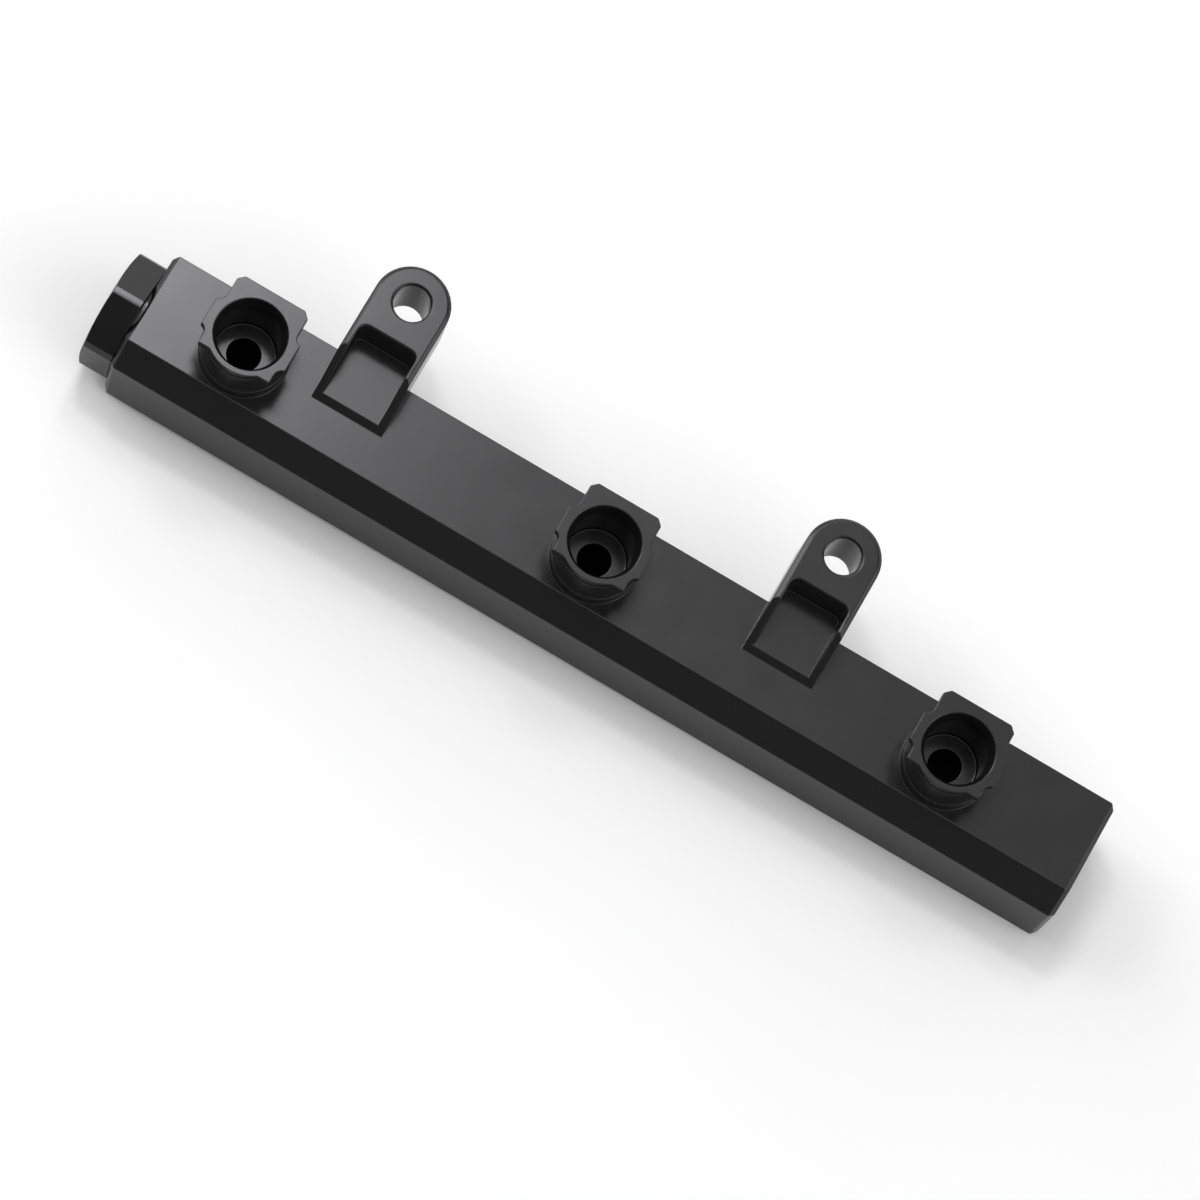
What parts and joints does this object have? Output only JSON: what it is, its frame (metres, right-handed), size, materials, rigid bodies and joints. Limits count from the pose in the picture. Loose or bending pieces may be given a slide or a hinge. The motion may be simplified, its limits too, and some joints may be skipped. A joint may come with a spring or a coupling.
{
  "type": "fuel rail",
  "caption": "Machined aluminium fuel rail: a bar with clip-flanged injector cups on its top, bolt lugs at the back, a hex plug in one end and a threaded inlet in the other.",
  "frame": {"origin": "on the middle cup's axis, at the flat face of the bar that the cups stand on", "axes": "+X along the bar to the inlet end, +Y to the lugs, +Z out of the cups' mouths"},
  "size_m": [0.236, 0.0489, 0.0382],
  "materials": {
    "rail": "satin black anodised",
    "plug": "satin black anodised",
    "ring": "smooth moulded rubber"
  },
  "bodies": {
    "root": {"rail_body": "rail", "port_plug": "plug", "plug_ring": "ring"}
  },
  "joints": []
}
